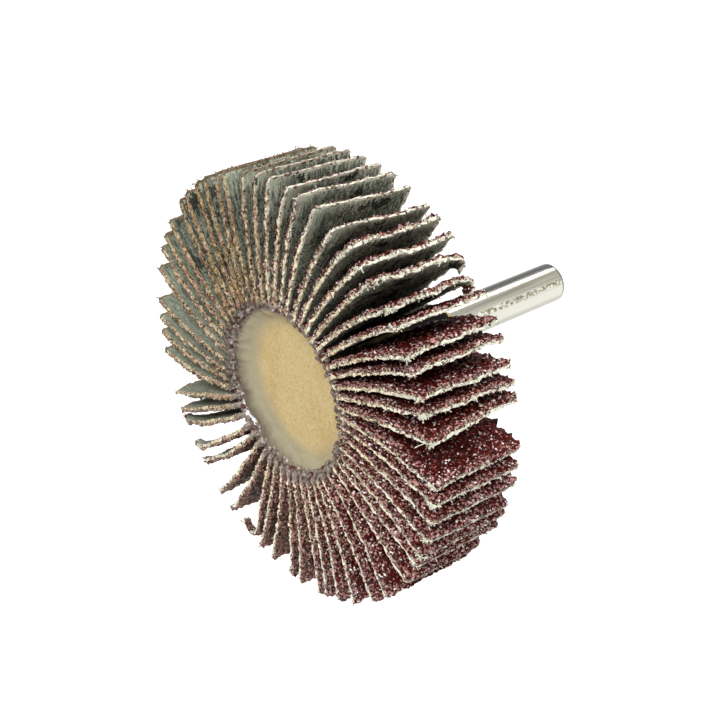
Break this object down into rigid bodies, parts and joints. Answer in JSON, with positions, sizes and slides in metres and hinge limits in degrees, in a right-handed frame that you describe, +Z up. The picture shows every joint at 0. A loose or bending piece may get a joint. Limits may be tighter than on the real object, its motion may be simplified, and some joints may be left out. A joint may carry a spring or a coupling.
{
  "type": "mounted flap wheel",
  "caption": "Fan of abrasive cloth flaps cast into a resin core on a plain steel shank, for smoothing surfaces in a drill or die grinder.",
  "frame": {"origin": "on the shank's axis where the resin boss ends and the clear shank begins", "axes": "+Y along the axis, out of the free end of the shank; the wheel's open face looks towards -Y; +Z up; +X to the right seen from the open face"},
  "size_m": [0.0604, 0.0525, 0.0603],
  "materials": {
    "abrasive_cloth": "coarse red-brown grain on one side, grey-green cotton cloth on the other",
    "cast_resin": "cast, honey coloured, slightly mottled",
    "shank_steel": "drawn and polished lengthwise"
  },
  "bodies": {
    "root": {"flap_01": "abrasive_cloth", "flap_02": "abrasive_cloth", "flap_03": "abrasive_cloth", "flap_04": "abrasive_cloth", "flap_05": "abrasive_cloth", "flap_06": "abrasive_cloth", "flap_07": "abrasive_cloth", "flap_08": "abrasive_cloth", "flap_09": "abrasive_cloth", "flap_10": "abrasive_cloth", "flap_11": "abrasive_cloth", "flap_12": "abrasive_cloth", "flap_13": "abrasive_cloth", "flap_14": "abrasive_cloth", "flap_15": "abrasive_cloth", "flap_16": "abrasive_cloth", "flap_17": "abrasive_cloth", "flap_18": "abrasive_cloth", "flap_19": "abrasive_cloth", "flap_20": "abrasive_cloth", "flap_21": "abrasive_cloth", "flap_22": "abrasive_cloth", "flap_23": "abrasive_cloth", "flap_24": "abrasive_cloth", "flap_25": "abrasive_cloth", "flap_26": "abrasive_cloth", "flap_27": "abrasive_cloth", "flap_28": "abrasive_cloth", "flap_29": "abrasive_cloth", "flap_30": "abrasive_cloth", "flap_31": "abrasive_cloth", "flap_32": "abrasive_cloth", "flap_33": "abrasive_cloth", "flap_34": "abrasive_cloth", "flap_35": "abrasive_cloth", "flap_36": "abrasive_cloth", "flap_37": "abrasive_cloth", "flap_38": "abrasive_cloth", "flap_39": "abrasive_cloth", "flap_40": "abrasive_cloth", "flap_41": "abrasive_cloth", "flap_42": "abrasive_cloth", "flap_43": "abrasive_cloth", "flap_44": "abrasive_cloth", "flap_45": "abrasive_cloth", "flap_46": "abrasive_cloth", "flap_47": "abrasive_cloth", "flap_48": "abrasive_cloth", "flap_49": "abrasive_cloth", "flap_50": "abrasive_cloth", "flap_51": "abrasive_cloth", "flap_52": "abrasive_cloth", "flap_53": "abrasive_cloth", "flap_54": "abrasive_cloth", "flap_55": "abrasive_cloth", "flap_56": "abrasive_cloth", "resin_core": "cast_resin", "shank": "shank_steel"}
  },
  "joints": []
}
